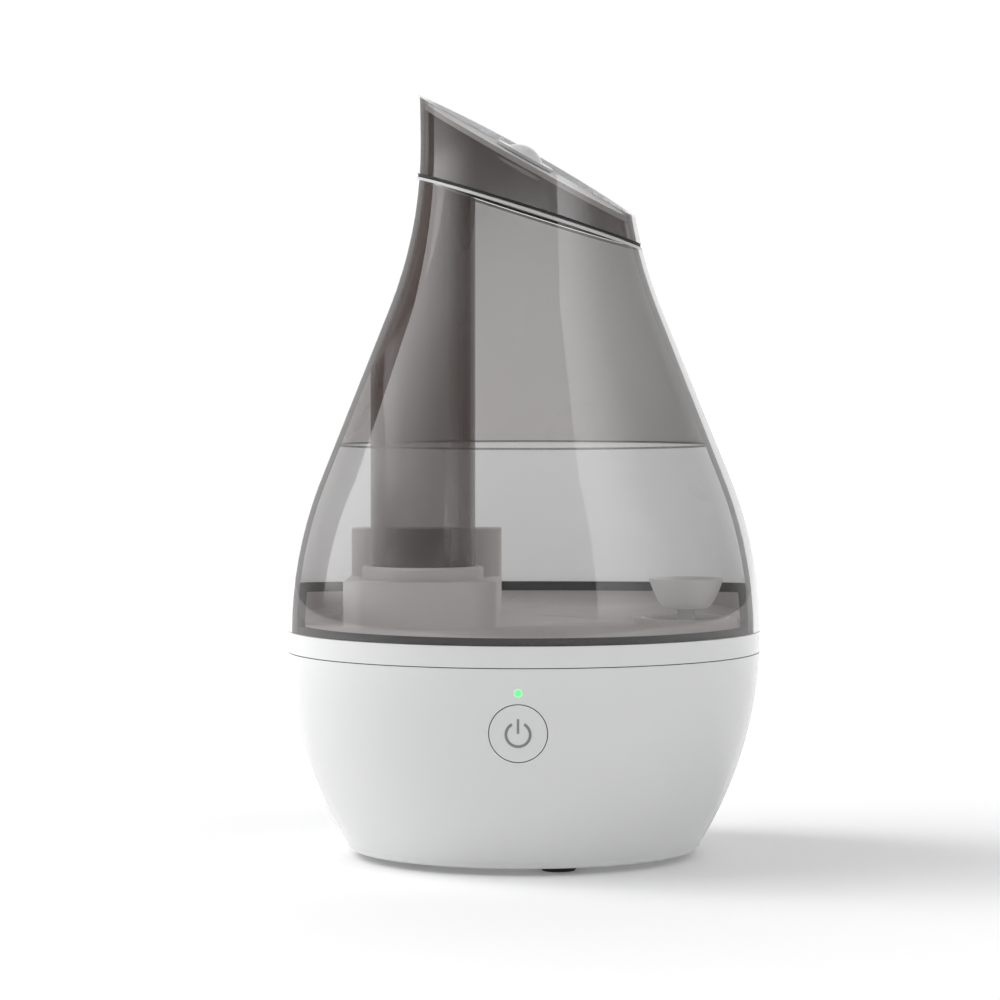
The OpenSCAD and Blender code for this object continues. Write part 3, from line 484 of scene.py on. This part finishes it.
def seam_shadow_ring():
    """Painted shade: a dark ring in the gap between the base's rim and the tank's ring, for the seam's
    shadow line
    """
    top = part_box("base_body")[1][2]
    bm = bmesh.new()
    z0, z1 = top + 0.00003, top + 0.00034
    outer, inner = 0.0007, 0.0036
    profile = [(inner, z0), (outer, z0), (outer, z1), (inner, z1)]
    rings = [circle(bm, r_at(z, inset), z, SEAM_SIDES) for inset, z in profile]
    bridge(bm, rings + rings[:1])
    bmesh.ops.recalc_face_normals(bm, faces=bm.faces)
    return new_object("seam_shadow_ring", bm, black_rubber, "base")


def waterline_shade():
    """Painted shade: a thin dark line where the water's surface meets the wall"""
    bm = bmesh.new()
    profile = ((0.0003, -0.0004), (0.0010, 0.0), (0.0003, 0.0005))
    bridge(bm, [circle(bm, r_at(WATER_Z + dz, TANK_WALL + dr), WATER_Z + dz, SEAM_SIDES)
                for dr, dz in profile])
    bmesh.ops.recalc_face_normals(bm, faces=bm.faces)
    return new_object("waterline_shade", bm, water_edge_shade, "tank")


nodes["chimney_collar"].data.materials[0] = tank_inside_glow
water()
waterline_shade()
power_symbol()
seam_shadow_ring()


# ---------------------------------------------------------------- floor, light, camera
def studio():
    bm = bmesh.new()
    corners = [(-9, -4), (9, -4), (9, 30), (-9, 30)]
    bm.faces.new([bm.verts.new((x, y, 0)) for x, y in corners])
    mesh = bpy.data.meshes.new("floor")
    bm.to_mesh(mesh)
    bm.free()
    m = Nodes("studio_paper", (0.90, 0.90, 0.90), 0.75)
    m.tint(m.noise(2, 2), (0.895, 0.895, 0.895), (0.905, 0.905, 0.905))
    m.b.inputs["Emission Color"].default_value = (1, 1, 1, 1)
    m.b.inputs["Emission Strength"].default_value = 1.0
    # Painted shade: the floor's glow is low near the object and rises with distance, darkening the floor
    # round it
    away = m.add("ShaderNodeVectorMath", operation="LENGTH")
    m.link(m.coord.outputs["Object"], away.inputs[0])
    m.tint_to("Emission Color", m.ramp(away.outputs["Value"], 0.0, 1.0, *GLOW_FROM_TO),
              SHADED_GLOW_NEAR, GLOW_FAR)
    mesh.materials.append(m.m)
    floor = bpy.data.objects.new("floor", mesh)
    scene.collection.objects.link(floor)

    # A dim room with a white wall behind, and a tall panel on the left and on the right.
    # Each panel has one sharp edge and fades away from it.
    world = bpy.data.worlds.new("studio")
    world.use_nodes = True
    t = world.node_tree
    t.nodes["Background"].inputs["Color"].default_value = (1, 1, 1, 1)
    coord = t.nodes.new("ShaderNodeTexCoord")
    axis = t.nodes.new("ShaderNodeSeparateXYZ")
    t.links.new(coord.outputs["Generated"], axis.inputs["Vector"])

    def math_node(op, a, b):
        n = t.nodes.new("ShaderNodeMath")
        n.operation = op
        for socket, value in zip(n.inputs, (a, b)):
            if isinstance(value, (int, float)):
                socket.default_value = value
            else:
                t.links.new(value, socket)
        return n.outputs[0]

    def ramp(source, x0, x1, y0, y1):
        n = t.nodes.new("ShaderNodeMapRange")
        n.interpolation_type = "SMOOTHSTEP"
        for key, value in (("From Min", x0), ("From Max", x1), ("To Min", y0), ("To Max", y1)):
            n.inputs[key].default_value = value
        t.links.new(source, n.inputs["Value"])
        return n.outputs["Result"]

    back = math_node("MULTIPLY", axis.outputs["Y"], -1.0)
    turn = math_node("ARCTAN2", axis.outputs["X"], back)
    high = ramp(axis.outputs["Z"], 0.0, 0.12, 0.0, 1.0)
    strength = ramp(axis.outputs["Y"], 0.5, 0.93, ROOM, WALL)
    for edge, fade, level in PANELS:
        e, f = math.radians(edge), math.radians(fade)
        near = ramp(turn, e, f, level, 0.0)
        inside = math_node("GREATER_THAN", turn, e)
        panel = math_node("MULTIPLY", math_node("MULTIPLY", near, inside), high)
        strength = math_node("ADD", strength, panel)
    t.links.new(strength, t.nodes["Background"].inputs["Strength"])
    scene.world = world


def softbox(name, azimuth, elevation, distance, width, height, power, aim=(0, 0, 0.16)):
    """azimuth: degrees to the right of the camera, seen from the object"""
    a, e = math.radians(azimuth - 90), math.radians(elevation)
    place = Vector(aim) + distance * Vector((math.cos(a) * math.cos(e), math.sin(a) * math.cos(e),
                                             math.sin(e)))
    light = bpy.data.lights.new(name, "AREA")
    light.shape = "RECTANGLE"
    light.size, light.size_y = width, height
    light.energy = power
    obj = bpy.data.objects.new(name, light)
    obj.location = place
    obj.rotation_euler = (Vector(aim) - place).to_track_quat("-Z", "Y").to_euler()
    scene.collection.objects.link(obj)
    return obj


# Floor glow near and far from the object; the low glow near it is painted shade
SHADED_GLOW_NEAR, GLOW_FAR, GLOW_FROM_TO = 0.10, 0.72, (0.15, 1.3)
ROOM, WALL = 0.20, 1.06
PANELS = [(-113, -44, 2.4), (37, 88, 2.2)]  # sharp edge, end of the fade (degrees), strength
studio()
key = softbox("left_box", -80, 24, 1.6, 0.8, 1.0, 4)
key.visible_glossy = False
high = softbox("left_high_box", -108, 45, 1.6, 0.6, 0.6, 8)
high.visible_glossy = False
softbox("top_box", -30, 70, 1.7, 1.4, 1.4, 2)

# The photo's camera: level, a little to the right, with its focal length in pixels of a 1000 pixel picture
SENSOR, FOCAL_PX, PICTURE_PX = 36, 3693, 1000
DISTANCE, HEIGHT, TURN = 1.651, 0.2167, 1.4
view = math.radians(-90 + TURN)
cam_data = bpy.data.cameras.new("camera")
cam_data.sensor_width = SENSOR
cam_data.lens = FOCAL_PX * SENSOR / PICTURE_PX
cam_data.clip_start = 0.05
cam = bpy.data.objects.new("camera", cam_data)
cam.location = (math.cos(view) * DISTANCE, math.sin(view) * DISTANCE, HEIGHT)
cam.rotation_euler = (math.radians(90), 0, view + math.radians(90))
cam_data.shift_x = -0.024
cam_data.shift_y = -0.132
scene.collection.objects.link(cam)
scene.camera = cam
scene.view_settings.view_transform = "Standard"
scene.cycles.transparent_max_bounces = 32

for name in nodes:
    if name not in skinned:
        soften(name)
